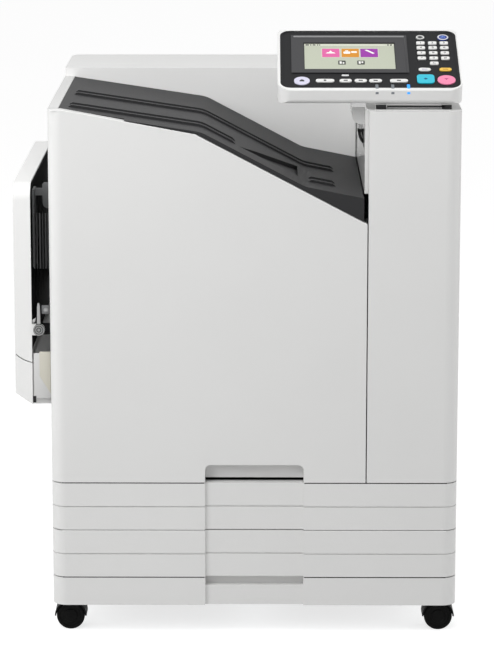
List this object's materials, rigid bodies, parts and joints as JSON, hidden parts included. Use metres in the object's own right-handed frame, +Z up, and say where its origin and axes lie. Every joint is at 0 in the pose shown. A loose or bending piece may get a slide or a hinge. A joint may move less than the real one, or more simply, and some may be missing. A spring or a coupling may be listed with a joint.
{
  "type": "multifunction printer",
  "caption": "Floor-standing colour inkjet printer on casters with paper drawers, a folding side tray, a front door, an output deck and a tilting touch panel.",
  "frame": {"origin": "on the floor under the middle of the machine, folded side tray and rear duct included", "axes": "+X to the right as seen from the front, +Y to the back, +Z up"},
  "size_m": [0.776, 0.705, 1.0571],
  "materials": {
    "casing": "fine-grained moulded plastic",
    "casing_trim": "fine-grained moulded plastic",
    "deck": "grained dark plastic",
    "dark_plastic": "moulded dark plastic",
    "grey_plastic": "moulded grey plastic",
    "steel": "zinc-coated sheet",
    "roller_rubber": "ground rubber",
    "fascia": "satin dark plastic",
    "screen": "glossy screen",
    "white_key": "satin key cap",
    "grey_key": "satin key cap",
    "blue_key": "satin key cap",
    "yellow_key": "satin key cap",
    "cyan_key": "satin key cap",
    "pink_key": "satin key cap",
    "green_lever": "moulded plastic",
    "ink_black": "moulded plastic",
    "ink_cyan": "moulded plastic",
    "ink_magenta": "moulded plastic",
    "ink_yellow": "moulded plastic",
    "caster_body": "moulded black plastic",
    "caster_tread": "hard rubber"
  },
  "bodies": {
    "cabinet": {"base_frame": "steel", "base_skirt": "casing_trim", "chassis_frame": "steel", "left_cover": "casing", "right_cover": "casing_trim", "rear_cover": "casing_trim", "top_cover": "casing_trim", "output_tray": "deck", "tower_cover": "casing_trim", "exit_cover": "casing", "panel_bracket": "dark_plastic", "feeder_housing": "casing_trim", "feeder_frame": "dark_plastic", "print_head_unit": "grey_plastic", "belt_frame": "steel", "ink_bay": "grey_plastic", "power_inlet": "dark_plastic", "transfer_belt": "roller_rubber"},
    "front_door": {"front_cover": "casing"},
    "drawer_upper": {"tray_front_upper": "casing_trim", "tray_bin_upper": "dark_plastic"},
    "drawer_lower": {"tray_front_lower": "casing_trim", "tray_bin_lower": "dark_plastic"},
    "side_tray": {"side_tray_shell": "casing_trim", "side_tray_bed": "dark_plastic"},
    "guide_front": {"paper_guide_front": "grey_plastic"},
    "guide_rear": {"paper_guide_rear": "grey_plastic"},
    "pickup_shaft": {"feed_roller": "roller_rubber"},
    "operation_panel": {"panel_housing": "casing", "panel_fascia": "fascia", "touch_screen": "screen"},
    "belt_drive": {"belt_roller": "roller_rubber"},
    "jam_release": {"jam_lever": "green_lever"},
    "mains_switch": {"power_switch": "dark_plastic"},
    "exit_shaft": {"exit_rollers": "roller_rubber"},
    "ink_black": {"ink_cartridge_black": "ink_black"},
    "ink_cyan": {"ink_cartridge_cyan": "ink_cyan"},
    "ink_magenta": {"ink_cartridge_magenta": "ink_magenta"},
    "ink_yellow": {"ink_cartridge_yellow": "ink_yellow"},
    "power_key_cap": {"power_key": "blue_key"},
    "wake_key_cap": {"wake_key": "grey_key"},
    "number_key_caps": {"number_keys": "white_key"},
    "reset_key_cap": {"reset_key": "white_key"},
    "interrupt_key_cap": {"interrupt_key": "yellow_key"},
    "start_key_cap": {"start_key": "cyan_key"},
    "stop_key_cap": {"stop_key": "pink_key"},
    "home_key_cap": {"home_key": "white_key"},
    "menu_key_1_cap": {"menu_key_1": "white_key"},
    "menu_key_2_cap": {"menu_key_2": "white_key"},
    "menu_key_3_cap": {"menu_key_3": "white_key"},
    "menu_key_4_cap": {"menu_key_4": "white_key"},
    "menu_key_5_cap": {"menu_key_5": "white_key"},
    "caster_front_left": {"caster_yoke_front_left": "caster_body"},
    "wheels_front_left": {"caster_wheel_front_left": "caster_tread"},
    "caster_front_right": {"caster_yoke_front_right": "caster_body"},
    "wheels_front_right": {"caster_wheel_front_right": "caster_tread"},
    "caster_rear_left": {"caster_yoke_rear_left": "caster_body"},
    "wheels_rear_left": {"caster_wheel_rear_left": "caster_tread"},
    "caster_rear_right": {"caster_yoke_rear_right": "caster_body"},
    "wheels_rear_right": {"caster_wheel_rear_right": "caster_tread"}
  },
  "joints": [
    {"name": "door_hinge", "type": "hinge", "parent": "cabinet", "child": "front_door", "pos_m": [-0.31273, -0.34023, 0.6], "axis": [0, 0, -1], "range_deg": [0, 100]},
    {"name": "drawer_upper_slide", "type": "slide", "parent": "cabinet", "child": "drawer_upper", "axis": [0, -1, 0], "range_m": [0, 0.42]},
    {"name": "drawer_lower_slide", "type": "slide", "parent": "cabinet", "child": "drawer_lower", "axis": [0, -1, 0], "range_m": [0, 0.42]},
    {"name": "side_tray_hinge", "type": "hinge", "parent": "cabinet", "child": "side_tray", "pos_m": [-0.3455, -0.0565, 0.549], "axis": [0, -1, 0], "range_deg": [0, 88]},
    {"name": "guide_front_slide", "type": "slide", "parent": "side_tray", "child": "guide_front", "axis": [0, 1, 0], "range_m": [0, 0.11]},
    {"name": "guide_rear_slide", "type": "slide", "parent": "side_tray", "child": "guide_rear", "axis": [0, -1, 0], "range_m": [0, 0.11]},
    {"name": "pickup_spin", "type": "hinge", "parent": "cabinet", "child": "pickup_shaft", "pos_m": [-0.292, -0.0565, 0.7], "axis": [0, 1, 0], "continuous": true},
    {"name": "panel_tilt", "type": "hinge", "parent": "cabinet", "child": "operation_panel", "pos_m": [0.2295, -0.3275, 0.948], "axis": [1, 0, 0], "range_deg": [-22.5, 52.5]},
    {"name": "belt_drive_spin", "type": "hinge", "parent": "cabinet", "child": "belt_drive", "pos_m": [0.1615, -0.1175, 0.54], "axis": [0, 1, 0], "continuous": true},
    {"name": "jam_release_turn", "type": "hinge", "parent": "cabinet", "child": "jam_release", "pos_m": [-0.0285, -0.2975, 0.54], "axis": [0, -1, 0], "range_deg": [0, 60]},
    {"name": "mains_switch_rock", "type": "hinge", "parent": "cabinet", "child": "mains_switch", "pos_m": [0.2365, 0.3295, 0.165], "axis": [-1, 0, 0], "range_deg": [0, 16]},
    {"name": "exit_spin", "type": "hinge", "parent": "cabinet", "child": "exit_shaft", "pos_m": [0.235, -0.1175, 0.859], "axis": [0, 1, 0], "continuous": true},
    {"name": "ink_black_slide", "type": "slide", "parent": "cabinet", "child": "ink_black", "axis": [0, -1, 0], "range_m": [0, 0.022]},
    {"name": "ink_cyan_slide", "type": "slide", "parent": "cabinet", "child": "ink_cyan", "axis": [0, -1, 0], "range_m": [0, 0.022]},
    {"name": "ink_magenta_slide", "type": "slide", "parent": "cabinet", "child": "ink_magenta", "axis": [0, -1, 0], "range_m": [0, 0.022]},
    {"name": "ink_yellow_slide", "type": "slide", "parent": "cabinet", "child": "ink_yellow", "axis": [0, -1, 0], "range_m": [0, 0.022]},
    {"name": "power_key_press", "type": "slide", "parent": "operation_panel", "child": "power_key_cap", "axis": [0, 0.3827, -0.9239], "range_m": [0, 0.001], "stiffness_N_per_m": 600, "springref_m": -0.0005},
    {"name": "wake_key_press", "type": "slide", "parent": "operation_panel", "child": "wake_key_cap", "axis": [0, 0.3827, -0.9239], "range_m": [0, 0.001], "stiffness_N_per_m": 600, "springref_m": -0.0005},
    {"name": "number_keys_press", "type": "slide", "parent": "operation_panel", "child": "number_key_caps", "axis": [0, 0.3827, -0.9239], "range_m": [0, 0.001], "stiffness_N_per_m": 600, "springref_m": -0.0005},
    {"name": "reset_key_press", "type": "slide", "parent": "operation_panel", "child": "reset_key_cap", "axis": [0, 0.3827, -0.9239], "range_m": [0, 0.001], "stiffness_N_per_m": 600, "springref_m": -0.0005},
    {"name": "interrupt_key_press", "type": "slide", "parent": "operation_panel", "child": "interrupt_key_cap", "axis": [0, 0.3827, -0.9239], "range_m": [0, 0.001], "stiffness_N_per_m": 600, "springref_m": -0.0005},
    {"name": "start_key_press", "type": "slide", "parent": "operation_panel", "child": "start_key_cap", "axis": [0, 0.3827, -0.9239], "range_m": [0, 0.001], "stiffness_N_per_m": 600, "springref_m": -0.0005},
    {"name": "stop_key_press", "type": "slide", "parent": "operation_panel", "child": "stop_key_cap", "axis": [0, 0.3827, -0.9239], "range_m": [0, 0.001], "stiffness_N_per_m": 600, "springref_m": -0.0005},
    {"name": "home_key_press", "type": "slide", "parent": "operation_panel", "child": "home_key_cap", "axis": [0, 0.3827, -0.9239], "range_m": [0, 0.001], "stiffness_N_per_m": 600, "springref_m": -0.0005},
    {"name": "menu_key_1_press", "type": "slide", "parent": "operation_panel", "child": "menu_key_1_cap", "axis": [0, 0.3827, -0.9239], "range_m": [0, 0.001], "stiffness_N_per_m": 600, "springref_m": -0.0005},
    {"name": "menu_key_2_press", "type": "slide", "parent": "operation_panel", "child": "menu_key_2_cap", "axis": [0, 0.3827, -0.9239], "range_m": [0, 0.001], "stiffness_N_per_m": 600, "springref_m": -0.0005},
    {"name": "menu_key_3_press", "type": "slide", "parent": "operation_panel", "child": "menu_key_3_cap", "axis": [0, 0.3827, -0.9239], "range_m": [0, 0.001], "stiffness_N_per_m": 600, "springref_m": -0.0005},
    {"name": "menu_key_4_press", "type": "slide", "parent": "operation_panel", "child": "menu_key_4_cap", "axis": [0, 0.3827, -0.9239], "range_m": [0, 0.001], "stiffness_N_per_m": 600, "springref_m": -0.0005},
    {"name": "menu_key_5_press", "type": "slide", "parent": "operation_panel", "child": "menu_key_5_cap", "axis": [0, 0.3827, -0.9239], "range_m": [0, 0.001], "stiffness_N_per_m": 600, "springref_m": -0.0005},
    {"name": "caster_front_left_swivel", "type": "hinge", "parent": "cabinet", "child": "caster_front_left", "pos_m": [-0.2805, -0.2925, 0.06], "axis": [0, 0, 1], "continuous": true},
    {"name": "wheels_front_left_spin", "type": "hinge", "parent": "caster_front_left", "child": "wheels_front_left", "pos_m": [-0.2965, -0.2925, 0.025], "axis": [0, 1, 0], "continuous": true},
    {"name": "caster_front_right_swivel", "type": "hinge", "parent": "cabinet", "child": "caster_front_right", "pos_m": [0.3435, -0.2925, 0.06], "axis": [0, 0, 1], "continuous": true},
    {"name": "wheels_front_right_spin", "type": "hinge", "parent": "caster_front_right", "child": "wheels_front_right", "pos_m": [0.3595, -0.2925, 0.025], "axis": [0, 1, 0], "continuous": true},
    {"name": "caster_rear_left_swivel", "type": "hinge", "parent": "cabinet", "child": "caster_rear_left", "pos_m": [-0.2805, 0.2775, 0.06], "axis": [0, 0, 1], "continuous": true},
    {"name": "wheels_rear_left_spin", "type": "hinge", "parent": "caster_rear_left", "child": "wheels_rear_left", "pos_m": [-0.2965, 0.2775, 0.025], "axis": [0, 1, 0], "continuous": true},
    {"name": "caster_rear_right_swivel", "type": "hinge", "parent": "cabinet", "child": "caster_rear_right", "pos_m": [0.3435, 0.2775, 0.06], "axis": [0, 0, 1], "continuous": true},
    {"name": "wheels_rear_right_spin", "type": "hinge", "parent": "caster_rear_right", "child": "wheels_rear_right", "pos_m": [0.3595, 0.2775, 0.025], "axis": [0, 1, 0], "continuous": true}
  ],
  "couplings": [
    {"joint": "guide_rear_slide", "follows": "guide_front_slide", "ratio": 1}
  ]
}
